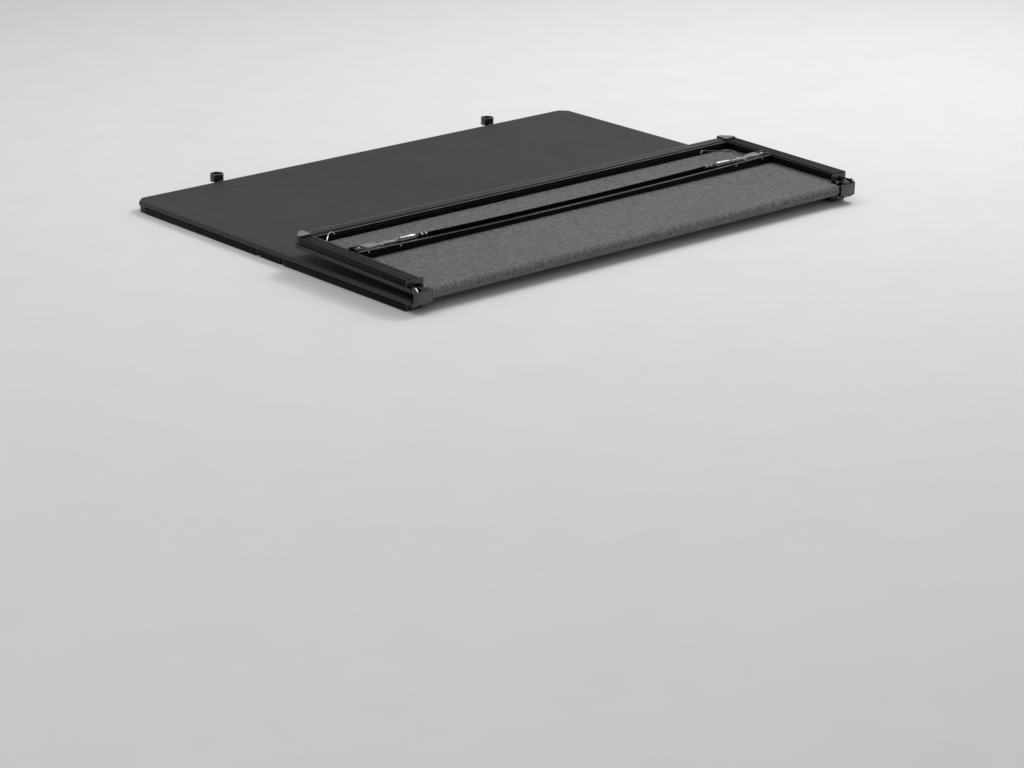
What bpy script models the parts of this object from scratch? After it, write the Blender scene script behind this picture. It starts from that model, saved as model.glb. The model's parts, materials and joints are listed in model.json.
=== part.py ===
"""Soft tri-fold tonneau cover for a pickup bed, with its rear panel folded forward.

Three framed panels carry one vinyl skin. Each fold is a pair of double-pivot link
hinges, and four swing-out screw clamps are stowed in the channels of the cross bows.
Metres, +X to the truck's right, +Y towards the cab, +Z up. The origin is under the
middle of the cover, on the plane that the side rails rest on.
"""

import math

import bmesh
import bpy
from mathutils import Matrix, Vector

# ---------------------------------------------------------------- driving dimensions
COVER_WIDTH = 1.680
FRONT_LENGTH = 0.590
MIDDLE_LENGTH = 0.530
REAR_LENGTH = 0.497
PANEL_HEIGHT = 0.033
GAP = 0.0003

# folds: pins lie below the vinyl's face, past the end of each panel
PIN_DEPTH = 0.008
PIN_OVERHANG = 0.0135
FRONT_LINK_SPAN = 0.088
REAR_LINK_SPAN = 0.036
REAR_FOLD_DEG = 178.8

# extruded rails
RAIL_WIDTH = 0.044
RAIL_TOP = 0.0307
SHELF_Z = 0.0248
SHELF_INSET = 0.0305
LIP_Z = 0.0165
WRAP_Z = 0.0228
CROSS_RAIL_WIDTH = 0.048
CROSS_RAIL_BOTTOM = 0.006
CORNER_LENGTH = 0.050
CORNER_WIDTH = 0.052
TAIL_CORNER_WIDTH = 0.0446
TAIL_CORNER_LENGTH = 0.0425
FRONT_CHAMFER = 0.024
TAIL_CHAMFER = 0.027

# vinyl skin with its padded backing
SKIN = 0.002
WRAP_THICKNESS = 0.0015
PAD_BOTTOM = 0.0252
PAD_END_INSET = 0.006

# hinge castings and links
HINGE_X = 0.806
LUG_OFFSET = 0.0155
LUG_WIDTH = 0.008
KNUCKLE_WIDTH = 0.0224
KNUCKLE_RADIUS = 0.0055
PIN_RADIUS = 0.0025
PIN_CLEARANCE = 0.0003
PIN_LENGTH = 0.041
FLANGE_THICKNESS = 0.004
FLANGE_INNER_X = 0.780
TONGUE_LENGTH = 0.025
PLATE_WIDTH = 0.052
PLATE_OVERHANG = 0.001
PLATE_THICKNESS = 0.004
CHEEK_THICKNESS = 0.0105

# cross bows: channels that open downwards and thin towards the middle
BOW_WIDTH = 0.046
BOW_WALL = 0.002
BOW_RIM_Z = 0.0015
BOW_ARCH = 0.010
BOW_FRONT_Y = -0.300
BOW_MIDDLE_Y = -0.265
BOW_REAR_Y = -0.2825

# clamps: a swing arm with a threaded stud, a sliding jaw and a barrel knob
CLAMP_PIVOT_X = 0.778
FRONT_CLAMP_Z = 0.0115
REAR_CLAMP_Z = 0.0030
EAR_REACH = 0.0075
STUD_RADIUS = 0.004
STUD_END = 0.245
JAW_START = 0.0215
JAW_TAPER = 0.034
JAW_END = 0.071
JAW_WIDE = 0.030
JAW_NARROW = 0.022
JAW_THICKNESS = 0.016
SLEEVE_RADIUS = 0.0062
SLEEVE_END = 0.135
KNOB_LENGTH = 0.070
KNOB_RADIUS = 0.0105

# header bumpers
BUMPER_X = 0.530
BUMPER_RADIUS = 0.0205
BUMPER_STANDOFF = 0.0012
BUMPER_DISH = 0.0150
BUMPER_DISH_DEPTH = 0.006
BUMPER_BOTTOM = 0.028
BUMPER_TOP = 0.051

HALF = COVER_WIDTH / 2
PIN_Z = PANEL_HEIGHT - PIN_DEPTH
RAIL_INNER_X = HALF - RAIL_WIDTH
FRONT_FOLD_LENGTH = 2 * PIN_OVERHANG + FRONT_LINK_SPAN
FLAT_REACH = FRONT_LENGTH + FRONT_FOLD_LENGTH + MIDDLE_LENGTH
BUMPER_REACH = GAP + BUMPER_STANDOFF + 2 * BUMPER_RADIUS
HALF_FOLD = math.radians(REAR_FOLD_DEG / 2)
BACK_REACH = PIN_OVERHANG + PIN_Z * math.sin(HALF_FOLD) + REAR_LINK_SPAN * math.cos(HALF_FOLD)
HEAD_Y = (FLAT_REACH + BACK_REACH - BUMPER_REACH) / 2
SIDES = (("left", -1), ("right", 1))

PARTS = bpy.data.collections.new("tonneau_cover")
CUTTERS = bpy.data.collections.new("cutters")


# ---------------------------------------------------------------- small helpers
def clear_scene():
    for obj in list(bpy.data.objects):
        bpy.data.objects.remove(obj, do_unlink=True)
    for collection in (PARTS, CUTTERS):
        bpy.context.scene.collection.children.link(collection)
    CUTTERS.hide_render = True


def material(name, colour, roughness, metallic):
    mat = bpy.data.materials.new(name)
    mat.use_nodes = True
    shader = mat.node_tree.nodes["Principled BSDF"]
    shader.inputs["Base Color"].default_value = (*colour, 1.0)
    shader.inputs["Roughness"].default_value = roughness
    shader.inputs["Metallic"].default_value = metallic
    return mat


def empty(name, location, turn_x=0.0, parent=None):
    obj = bpy.data.objects.new(name, None)
    PARTS.objects.link(obj)
    obj.parent = parent
    obj.location = location
    obj.rotation_euler = (turn_x, 0.0, 0.0)
    return obj


def place(name, mesh, mat, parent, location=(0.0, 0.0, 0.0), cutter=False):
    """Put a mesh in the scene as a part, or as a hidden cutter."""
    obj = bpy.data.objects.new(name, mesh)
    (CUTTERS if cutter else PARTS).objects.link(obj)
    obj.parent = parent
    obj.location = location
    if cutter:
        obj.hide_render = True
        obj.display_type = "WIRE"
    else:
        mesh.materials.clear()
        mesh.materials.append(mat)
    return obj


def outline_mesh(name, outlines, depth, axis):
    """A flat outline (the first of the list, the rest are holes) extruded along an axis."""
    curve = bpy.data.curves.new(name, "CURVE")
    curve.dimensions = "2D"
    curve.fill_mode = "BOTH"
    curve.extrude = depth / 2
    for outline in outlines:
        spline = curve.splines.new("POLY")
        spline.points.add(len(outline) - 1)
        for point, (a, b) in zip(spline.points, outline):
            point.co = (a, b, 0.0, 1.0)
        spline.use_cyclic_u = True
    carrier = bpy.data.objects.new(name, curve)
    CUTTERS.objects.link(carrier)
    bpy.context.view_layer.update()
    graph = bpy.context.evaluated_depsgraph_get()
    mesh = bpy.data.meshes.new_from_object(carrier.evaluated_get(graph))
    bpy.data.objects.remove(carrier)
    turns = {
        "X": Matrix(((0, 0, 1), (1, 0, 0), (0, 1, 0))),
        "Y": Matrix(((1, 0, 0), (0, 0, -1), (0, 1, 0))),
        "Z": Matrix.Identity(3),
    }
    mesh.transform(turns[axis].to_4x4())
    return weld(mesh)


def weld(mesh):
    work = bmesh.new()
    work.from_mesh(mesh)
    bmesh.ops.remove_doubles(work, verts=work.verts, dist=0.00001)
    bmesh.ops.recalc_face_normals(work, faces=work.faces)
    work.to_mesh(mesh)
    work.free()
    return mesh


def box_mesh(name, size):
    work = bmesh.new()
    bmesh.ops.create_cube(work, size=1.0)
    bmesh.ops.scale(work, vec=size, verts=work.verts)
    mesh = bpy.data.meshes.new(name)
    work.to_mesh(mesh)
    work.free()
    return mesh


def rod_mesh(name, radius, length, axis, sides=20):
    work = bmesh.new()
    bmesh.ops.create_cone(
        work, cap_ends=True, segments=sides, radius1=radius, radius2=radius, depth=length
    )
    turns = {
        "X": Matrix.Rotation(math.pi / 2, 3, "Y"),
        "Y": Matrix.Rotation(math.pi / 2, 3, "X"),
        "Z": Matrix.Identity(3),
    }
    bmesh.ops.rotate(work, matrix=turns[axis], verts=work.verts)
    mesh = bpy.data.meshes.new(name)
    work.to_mesh(mesh)
    work.free()
    return mesh


def smooth(obj, angle_deg=35.0):
    obj.data.shade_smooth()
    obj.data.set_sharp_from_angle(angle=math.radians(angle_deg))
    return obj


def boolean(obj, tool, operation):
    modifier = obj.modifiers.new(tool.name, "BOOLEAN")
    modifier.operation = operation
    modifier.solver = "EXACT"
    modifier.object = tool
    return obj


def cut(obj, mesh, location):
    tool = place(f"{obj.name}_cut{len(obj.modifiers)}", mesh, None, obj.parent, location, True)
    return boolean(obj, tool, "DIFFERENCE")


def join(obj, mesh, location):
    tool = place(f"{obj.name}_add{len(obj.modifiers)}", mesh, None, obj.parent, location, True)
    return boolean(obj, tool, "UNION")


def bevel(obj, width, segments=1, angle_deg=40.0):
    modifier = obj.modifiers.new("rounded edges", "BEVEL")
    modifier.width = width
    modifier.segments = segments
    modifier.limit_method = "ANGLE"
    modifier.angle_limit = math.radians(angle_deg)
    return obj


def arc(centre, radius, start_deg, end_deg, steps):
    points = []
    for i in range(steps + 1):
        angle = math.radians(start_deg + (end_deg - start_deg) * i / steps)
        points.append((centre[0] + radius * math.cos(angle), centre[1] + radius * math.sin(angle)))
    return points


# ---------------------------------------------------------------- materials
def make_materials():
    return {
        "vinyl": material("vinyl", (0.060, 0.061, 0.063), 0.62, 0.0),
        "rail": material("rail", (0.012, 0.012, 0.013), 0.38, 0.6),
        "casting": material("casting", (0.008, 0.008, 0.009), 0.25, 0.0),
        "cap": material("cap", (0.045, 0.046, 0.048), 0.5, 0.0),
        "rubber": material("rubber", (0.010, 0.010, 0.010), 0.7, 0.0),
        "steel": material("steel", (0.45, 0.45, 0.46), 0.3, 1.0),
        "aluminium": material("aluminium", (0.22, 0.22, 0.23), 0.4, 1.0),
        "knob": material("knob", (0.010, 0.010, 0.011), 0.15, 0.0),
    }


# ---------------------------------------------------------------- rails
def side_rail_outline(side):
    """The side extrusion's section: ribbed outer face, grooved underside, vinyl slot."""
    ribs = []
    for base in (0.004, 0.008, 0.012):
        ribs += [(0.0, base), (0.001, base + 0.0005), (0.001, base + 0.0025), (0.0, base + 0.003)]
    grooves = []
    for start in (0.030, 0.014):
        grooves += [(start, 0.0), (start - 0.0005, 0.0012), (start - 0.003, 0.0012)]
        grooves += [(start - 0.0035, 0.0)]
    points = [(0.0015, 0.0), (0.0, 0.0015)] + ribs + [
        (0.0, LIP_Z),
        (0.004, LIP_Z),
        (0.004, LIP_Z + 0.002),
        (0.002, LIP_Z + 0.002),
        (0.002, RAIL_TOP - 0.0015),
        (0.0035, RAIL_TOP),
        (SHELF_INSET - 0.002, RAIL_TOP),
        (SHELF_INSET, RAIL_TOP - 0.002),
        (SHELF_INSET, SHELF_Z),
        (RAIL_WIDTH, SHELF_Z),
        (RAIL_WIDTH, 0.0),
    ] + grooves
    return [(side * (HALF - u), z) for u, z in points]


def rail_hollow(side):
    """The extrusion's chamber, which the hinge castings' tongues plug into."""
    low, high, outer, inner = 0.004, 0.019, 0.007, 0.041
    points = ((outer, low), (outer, high), (inner, high), (inner, low))
    return [(side * (HALF - u), z) for u, z in points]


def side_rail(name, side, start_y, end_y, base, mats):
    outlines = [side_rail_outline(side), rail_hollow(side)]
    mesh = outline_mesh(name, outlines, abs(start_y - end_y), "Y")
    return place(name, mesh, mats["rail"], base, (0.0, (start_y + end_y) / 2, 0.0))


def cross_rail_outline(outer_y, inward):
    """The header's or tail rail's section, given where its outer face is and which way is in."""
    points = [(0.0015, CROSS_RAIL_BOTTOM), (0.0015, 0.0130), (0.0, 0.0135), (0.0, LIP_Z)]
    points += [(0.003, LIP_Z), (0.003, RAIL_TOP - 0.0015), (0.0045, RAIL_TOP)]
    points += [(CROSS_RAIL_WIDTH, RAIL_TOP), (CROSS_RAIL_WIDTH, 0.012), (0.045, 0.0115)]
    points += [(0.045, CROSS_RAIL_BOTTOM)]
    return [(outer_y + inward * v, z) for v, z in points]


def cross_rail(name, half_length, outer_y, inward, base, mats):
    chamber = ((0.007, 0.010), (0.007, 0.027), (0.041, 0.027), (0.041, 0.010))
    hollow = [(outer_y + inward * v, z) for v, z in chamber]
    mesh = outline_mesh(name, [cross_rail_outline(outer_y, inward), hollow], 2 * half_length, "X")
    return place(name, mesh, mats["rail"], base)


def cross_seal(name, half_length, outer_y, inward, base, mats):
    """The rubber strip under a cross rail: flat foot, rounded bulb down to the rest plane."""
    top = CROSS_RAIL_BOTTOM - GAP
    centre = outer_y + inward * 0.024
    outline = [(centre - 0.013, top), (centre - 0.013, top - 0.002)]
    outline += arc((centre, top - 0.002), 0.010, 180, 360, 8)[1:-1]
    outline = [(y, max(z, 0.0)) for y, z in outline]
    outline += [(centre + 0.013, top - 0.002), (centre + 0.013, top)]
    flat = [p for i, p in enumerate(outline) if i == 0 or p != outline[i - 1]]
    mesh = outline_mesh(name, [flat], 2 * half_length, "X")
    return place(name, mesh, mats["rubber"], base)


def corner(name, side, width, length, chamfer, outer_y, inward, drop, base, mats):
    """A moulded corner that joins a cross rail to a side rail, with a cut-off outer corner."""
    outer_x = HALF - 0.002
    inner_x = HALF - width
    edge = outer_y + inward * 0.002
    outline = [
        (side * inner_x, edge),
        (side * (outer_x - chamfer), edge),
        (side * outer_x, edge + inward * chamfer),
        (side * outer_x, outer_y + inward * (length - GAP)),
        (side * inner_x, outer_y + inward * (length - GAP)),
    ]
    height = RAIL_TOP - 0.0002 + drop
    mesh = outline_mesh(name, [outline], height, "Z")
    obj = place(name, mesh, mats["cap"], base, (0.0, 0.0, height / 2 - drop))
    return bevel(obj, 0.0015, 2)


# ---------------------------------------------------------------- vinyl
def skin_outline():
    """The skin's section across the cover: flat top, edges wrapped down over the rails."""
    top = PANEL_HEIGHT
    inner = HALF - WRAP_THICKNESS
    half = [
        (HALF, WRAP_Z),
        (HALF, top - 0.0025),
        (HALF - 0.0025, top),
    ]
    under = [
        (inner - 0.001, top - SKIN),
        (inner, top - SKIN - 0.001),
        (inner, WRAP_Z),
    ]
    right = half + [(-x, z) for x, z in reversed(half)]
    left = [(-x, z) for x, z in reversed(under)] + under
    return right + left


def skin(name, length, pad_ends, base, mats):
    """A panel's vinyl with the padded field between its rails. y runs from 0 to -length."""
    mesh = outline_mesh(name, [skin_outline()], length - 2 * GAP, "Y")
    obj = place(name, mesh, mats["vinyl"], base, (0.0, -length / 2, 0.0))
    start, end = pad_ends
    half = HALF - SHELF_INSET - 0.001
    depth = PANEL_HEIGHT - SKIN / 2 - PAD_BOTTOM
    pad = box_mesh(f"{name}_pad", (2 * half, length - start - end, depth))
    return join(obj, pad, (0.0, (end - start - length) / 2, PAD_BOTTOM + depth / 2))


def trim_corners(obj, chamfer, edge_y, inward):
    """Cut the skin's two corners off to match the corner castings."""
    reach = 0.004
    for _, side in SIDES:
        outline = [
            (side * (HALF - chamfer - reach), edge_y - inward * reach),
            (side * (HALF + reach), edge_y - inward * reach),
            (side * (HALF + reach), edge_y + inward * (chamfer + reach)),
        ]
        cut(obj, outline_mesh("corner_trim", [outline], 0.1, "Z"), (0.0, 0.0, 0.0))
    return obj


def rear_fold_outline():
    """The skin's loop in the closed rear fold, in the lower pin's frame."""
    tilt = math.radians(180.0 - REAR_FOLD_DEG)
    middle = PIN_DEPTH - SKIN / 2
    turn = math.radians(REAR_FOLD_DEG)
    upper = Vector((0.0, -REAR_LINK_SPAN * math.cos(turn / 2), REAR_LINK_SPAN * math.sin(turn / 2)))
    end_y = upper.y + PIN_OVERHANG * math.cos(tilt) + middle * math.sin(tilt)
    end_z = upper.z + PIN_OVERHANG * math.sin(tilt) - middle * math.cos(tilt)
    leg = 0.0158
    radius = (end_z - middle - leg * math.sin(tilt)) / (1 + math.cos(tilt))
    nose_y = PIN_OVERHANG - leg
    inside, outside = [], []
    for offset, line in ((-SKIN / 2, inside), (SKIN / 2, outside)):
        line.append((PIN_OVERHANG - GAP, middle - offset))
        line += arc((nose_y, middle + radius), radius + offset, 270, 90 + 180 - REAR_FOLD_DEG, 14)
        away = GAP
        line.append((end_y - away, end_z + offset))
    return inside + list(reversed(outside))


# ---------------------------------------------------------------- hinges
def hinge_end(name, side, end_y, outward, base, mats):
    """The casting that plugs a side rail's end and carries the two lugs of a fork."""
    flange_outer = HALF - WRAP_THICKNESS - GAP
    width = flange_outer - FLANGE_INNER_X
    low, high = 0.0015, PANEL_HEIGHT - SKIN - 0.0008
    mid_x = side * (flange_outer + FLANGE_INNER_X) / 2
    flange_y = end_y - outward * FLANGE_THICKNESS / 2
    flange = box_mesh(name, (width, FLANGE_THICKNESS, high - low))
    obj = place(name, flange, mats["casting"], base, (mid_x, flange_y, (low + high) / 2))
    bevel(obj, 0.0008)
    tongue = box_mesh(f"{name}_tongue", (0.033, TONGUE_LENGTH, 0.0142))
    tongue_y = end_y - outward * (FLANGE_THICKNESS + TONGUE_LENGTH / 2 - 0.001)
    join(obj, tongue, (side * (HALF - 0.024), tongue_y, 0.0115))
    round_end = arc((outward * PIN_OVERHANG, 0.0), KNUCKLE_RADIUS, -90, 90, 8)
    lug = [(-outward * 0.001, -KNUCKLE_RADIUS)]
    lug += [(outward * PIN_OVERHANG + outward * (y - outward * PIN_OVERHANG), z) for y, z in round_end]
    lug += [(-outward * 0.001, KNUCKLE_RADIUS)]
    for offset in (-LUG_OFFSET, LUG_OFFSET):
        mesh = outline_mesh(f"{name}_lug", [lug], LUG_WIDTH, "X")
        join(obj, mesh, (side * HINGE_X + offset, end_y, PIN_Z))
    bore = rod_mesh(f"{name}_bore", PIN_RADIUS + PIN_CLEARANCE, 0.06, "X", 16)
    return cut(obj, bore, (side * HINGE_X, end_y + outward * PIN_OVERHANG, PIN_Z))


def link_outline(span):
    """The link's middle web in the lower pin's frame: two knuckles on a bridge."""
    floor = -PIN_Z
    bridge = floor + 0.0085
    reach = KNUCKLE_RADIUS
    points = arc((0.0, 0.0), KNUCKLE_RADIUS, 0, 180, 10)
    points += [(-reach, bridge)]
    points += [(-span + reach, bridge)]
    points += arc((-span, 0.0), KNUCKLE_RADIUS, 0, 180, 10)
    points += [(-span - reach, floor + 0.004), (-span - reach + 0.003, floor + 0.001)]
    points += [(reach - 0.003, floor + 0.001), (reach, floor + 0.004)]
    return points


def cheek_outline(span):
    """The link's outer cheek: the rail's side line across the fold, notched for the skin."""
    floor = -PIN_Z
    bridge = floor + 0.0085
    top = LIP_Z - PIN_Z
    return [
        (0.0, floor),
        (0.0095, floor + 0.0125),
        (0.0095, top),
        (-0.005, top),
        (-0.005, bridge),
        (-span + 0.005, bridge),
        (-span + 0.005, top),
        (-span - 0.0095, top),
        (-span - 0.0095, floor + 0.0125),
        (-span, floor),
    ]


def hinge_link(name, side, span, frame, mats):
    """A double-pivot link: web with two knuckles, outer cheek and a plate that ends flush."""
    web = outline_mesh(name, [link_outline(span)], KNUCKLE_WIDTH, "X")
    obj = place(name, web, mats["casting"], frame, (side * HINGE_X, 0.0, 0.0))
    plate = box_mesh(f"{name}_plate", (PLATE_WIDTH, span - 2 * PLATE_OVERHANG, PLATE_THICKNESS))
    join(obj, plate, (side * HINGE_X, -span / 2, -PIN_Z + PLATE_THICKNESS / 2))
    cheek = outline_mesh(f"{name}_cheek", [cheek_outline(span)], CHEEK_THICKNESS, "X")
    join(obj, cheek, (side * (HALF - 0.0015 - CHEEK_THICKNESS / 2), 0.0, 0.0))
    for pin_y in (0.0, -span):
        bore = rod_mesh(f"{name}_bore", PIN_RADIUS + 0.0001, 0.03, "X", 16)
        cut(obj, bore, (side * HINGE_X, pin_y, 0.0))
    return obj


def hinge_pin(name, side, pin_y, frame, mats):
    pin = rod_mesh(name, PIN_RADIUS - 0.0001, PIN_LENGTH, "X", 16)
    obj = place(name, pin, mats["steel"], frame, (side * HINGE_X, pin_y, 0.0))
    return smooth(bevel(obj, 0.0005))


# ---------------------------------------------------------------- bows and clamps
def bow(name, centre_y, base, mats):
    """A cross bow: a channel open underneath whose walls are shallower at mid span."""
    half = RAIL_INNER_X - GAP
    top = SHELF_Z
    steps = 24
    outline = [(half, top), (-half, top)]
    for i in range(steps + 1):
        x = -half + 2 * half * i / steps
        outline.append((x, BOW_RIM_Z + BOW_ARCH * (1 - (x / half) ** 2)))
    mesh = outline_mesh(name, [outline], BOW_WIDTH, "Y")
    obj = place(name, mesh, mats["rail"], base, (0.0, centre_y, 0.0))
    inside = box_mesh(f"{name}_channel", (2 * half + 0.02, BOW_WIDTH - 2 * BOW_WALL, 0.1))
    return cut(obj, inside, (0.0, centre_y, top - BOW_WALL - 0.05))


def clamp_bracket(name, side, centre_y, clamp_z, base, mats):
    """The clevis under the bow's end that carries a clamp's trunnions."""
    top = SHELF_Z - BOW_WALL - GAP
    foot = box_mesh(name, (0.024, 0.032, 0.0022))
    obj = place(name, foot, mats["casting"], base, (side * 0.7795, centre_y, top - 0.0011))
    for ear in (-0.0135, 0.0135):
        low = clamp_z - EAR_REACH
        wall = box_mesh(f"{name}_ear", (0.024, 0.005, top - low))
        join(obj, wall, (side * 0.7795, centre_y + ear, (top + low) / 2 - 0.0002))
    bore = rod_mesh(f"{name}_bore", 0.0033, 0.05, "Y", 16)
    return cut(obj, bore, (side * CLAMP_PIVOT_X, centre_y, clamp_z))


def clamp_arm(name, side, pivot, mats):
    """The swing arm: head with trunnions and a long threaded stud, in the pivot's frame."""
    head = box_mesh(name, (0.0205, 0.0205, 0.011))
    obj = place(name, head, mats["aluminium"], pivot, (-side * 0.0045, 0.0, 0.0))
    bevel(obj, 0.001)
    join(obj, rod_mesh(f"{name}_trunnion", 0.003, 0.0318, "Y", 16), (0.0, 0.0, 0.0))
    stud = rod_mesh(f"{name}_stud", STUD_RADIUS, STUD_END, "X", 16)
    join(obj, stud, (-side * STUD_END / 2, 0.0, 0.0))
    return smooth(obj)


def clamp_jaw(name, side, pivot, mats):
    """The jaw that slides on the stud, with the push sleeve that the knob bears on."""
    inward = -side
    outline = [
        (inward * JAW_START, -JAW_WIDE / 2),
        (inward * JAW_START, JAW_WIDE / 2),
        (inward * JAW_TAPER, JAW_WIDE / 2),
        (inward * JAW_END, JAW_NARROW / 2),
        (inward * JAW_END, -JAW_NARROW / 2),
        (inward * JAW_TAPER, -JAW_WIDE / 2),
    ]
    mesh = outline_mesh(name, [outline], JAW_THICKNESS, "Z")
    obj = bevel(place(name, mesh, mats["aluminium"], pivot), 0.001)
    sleeve = rod_mesh(f"{name}_sleeve", SLEEVE_RADIUS, SLEEVE_END - JAW_END + 0.002, "X", 20)
    join(obj, sleeve, (inward * (SLEEVE_END + JAW_END - 0.002) / 2, 0.0, 0.0))
    bore = rod_mesh(f"{name}_bore", STUD_RADIUS + GAP, 0.4, "X", 16)
    return smooth(cut(obj, bore, (inward * 0.1, 0.0, 0.0)))


def clamp_knob(name, side, pivot, mats):
    """The barrel knob, turned from a profile, which runs on the stud's thread."""
    half = KNOB_LENGTH / 2
    bore = STUD_RADIUS + GAP
    profile = [(bore, half), (0.0070, half), (KNOB_RADIUS - 0.001, half - 0.006)]
    profile += [(KNOB_RADIUS, half - 0.012), (KNOB_RADIUS, -half + 0.012)]
    profile += [(KNOB_RADIUS - 0.001, -half + 0.006), (0.0070, -half), (bore, -half)]
    mesh = bpy.data.meshes.new(name)
    work = bmesh.new()
    verts = [work.verts.new((r, 0.0, z)) for r, z in profile]
    for a, b in zip(verts, verts[1:] + verts[:1]):
        work.edges.new((a, b))
    work.to_mesh(mesh)
    work.free()
    centre = -side * (SLEEVE_END + GAP + half)
    obj = place(name, mesh, mats["knob"], pivot, (centre, 0.0, 0.0))
    obj.rotation_euler = (0.0, math.pi / 2, 0.0)
    screw = obj.modifiers.new("turned", "SCREW")
    screw.axis = "Z"
    screw.steps = 20
    screw.render_steps = 20
    screw.use_merge_vertices = True
    screw.merge_threshold = 0.0001
    return obj


def clamp(place_name, side, centre_y, clamp_z, base, mats):
    clamp_bracket(f"clamp_bracket_{place_name}", side, centre_y, clamp_z, base, mats)
    pivot = empty(f"clamp_pivot_{place_name}", (side * CLAMP_PIVOT_X, centre_y, clamp_z), 0.0, base)
    clamp_arm(f"clamp_arm_{place_name}", side, pivot, mats)
    clamp_jaw(f"clamp_jaw_{place_name}", side, pivot, mats)
    clamp_knob(f"clamp_knob_{place_name}", side, pivot, mats)


# ---------------------------------------------------------------- header bumpers
def bumper(name, side, base, mats):
    """A ring-topped rubber bumper that stands on the cab side of the header rail."""
    centre_y = GAP + BUMPER_STANDOFF + BUMPER_RADIUS
    height = BUMPER_TOP - BUMPER_BOTTOM
    body = rod_mesh(name, BUMPER_RADIUS, height, "Z", 24)
    location = (side * BUMPER_X, centre_y, (BUMPER_TOP + BUMPER_BOTTOM) / 2)
    obj = place(name, body, mats["rubber"], base, location)
    foot = box_mesh(f"{name}_foot", (0.018, 0.012, 0.024))
    join(obj, foot, (side * BUMPER_X, GAP + 0.006, BUMPER_BOTTOM - 0.008))
    dish = rod_mesh(f"{name}_dish", BUMPER_DISH, 2 * BUMPER_DISH_DEPTH, "Z", 24)
    cut(obj, dish, (side * BUMPER_X, centre_y, BUMPER_TOP))
    return smooth(bevel(obj, 0.001, 1, 50.0))


# ---------------------------------------------------------------- assemblies
def front_panel(base, mats):
    inner_end = -FRONT_LENGTH
    rail_end = inner_end + FLANGE_THICKNESS + GAP
    shell = skin("tarp_front", FRONT_LENGTH, (CORNER_LENGTH + 0.0006, PAD_END_INSET), base, mats)
    trim_corners(shell, FRONT_CHAMFER, 0.0, -1)
    half = HALF - CORNER_WIDTH - GAP
    cross_rail("header_rail", half, 0.0, -1, base, mats)
    cross_seal("header_seal", half - 0.004, 0.0, -1, base, mats)
    bow("bow_front", BOW_FRONT_Y, base, mats)
    for word, side in SIDES:
        side_rail(f"side_rail_front_{word}", side, -CORNER_LENGTH, rail_end, base, mats)
        corner(
            f"corner_front_{word}", side, CORNER_WIDTH, CORNER_LENGTH, FRONT_CHAMFER, 0.0, -1, 0.0, base, mats
        )
        hinge_end(f"hinge_end_front_{word}", side, inner_end, -1, base, mats)
        bumper(f"bumper_{word}", side, base, mats)
        clamp(f"front_{word}", side, BOW_FRONT_Y, FRONT_CLAMP_Z, base, mats)


def fold(name, span, frame, mats):
    """The links and pins of one fold, in the frame of its lower pins."""
    for word, side in SIDES:
        hinge_link(f"link_{name}_{word}", side, span, frame, mats)
        hinge_pin(f"pin_{name}_lower_{word}", side, 0.0, frame, mats)
        hinge_pin(f"pin_{name}_upper_{word}", side, -span, frame, mats)


def middle_panel(base, mats):
    start = -(FLANGE_THICKNESS + GAP)
    end = -MIDDLE_LENGTH + FLANGE_THICKNESS + GAP
    skin("tarp_middle", MIDDLE_LENGTH, (PAD_END_INSET, PAD_END_INSET), base, mats)
    bow("bow_middle", BOW_MIDDLE_Y, base, mats)
    for word, side in SIDES:
        side_rail(f"side_rail_middle_{word}", side, start, end, base, mats)
        hinge_end(f"hinge_end_middle_front_{word}", side, 0.0, 1, base, mats)
        hinge_end(f"hinge_end_middle_rear_{word}", side, -MIDDLE_LENGTH, -1, base, mats)


def rear_panel(base, mats):
    start = -(FLANGE_THICKNESS + GAP)
    end = -REAR_LENGTH + TAIL_CORNER_LENGTH
    pad_ends = (PAD_END_INSET, CROSS_RAIL_WIDTH + 0.0006)
    shell = skin("tarp_rear", REAR_LENGTH, pad_ends, base, mats)
    trim_corners(shell, TAIL_CHAMFER, -REAR_LENGTH, 1)
    half = HALF - TAIL_CORNER_WIDTH - GAP
    cross_rail("tail_rail", half, -REAR_LENGTH, 1, base, mats)
    cross_seal("tail_seal", half - 0.004, -REAR_LENGTH, 1, base, mats)
    bow("bow_rear", BOW_REAR_Y, base, mats)
    for word, side in SIDES:
        side_rail(f"side_rail_rear_{word}", side, start, end, base, mats)
        corner(
            f"corner_tail_{word}",
            side,
            TAIL_CORNER_WIDTH,
            TAIL_CORNER_LENGTH,
            TAIL_CHAMFER,
            -REAR_LENGTH,
            1,
            0.003,
            base,
            mats,
        )
        hinge_end(f"hinge_end_rear_{word}", side, 0.0, 1, base, mats)
        clamp(f"rear_{word}", side, BOW_REAR_Y, REAR_CLAMP_Z, base, mats)


def panel_base(name, pin_frame):
    """A panel's own frame: its cab-side end, on its underside, hung on its pin axis."""
    return empty(name, (0.0, -PIN_OVERHANG, -PIN_Z), 0.0, pin_frame)


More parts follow.
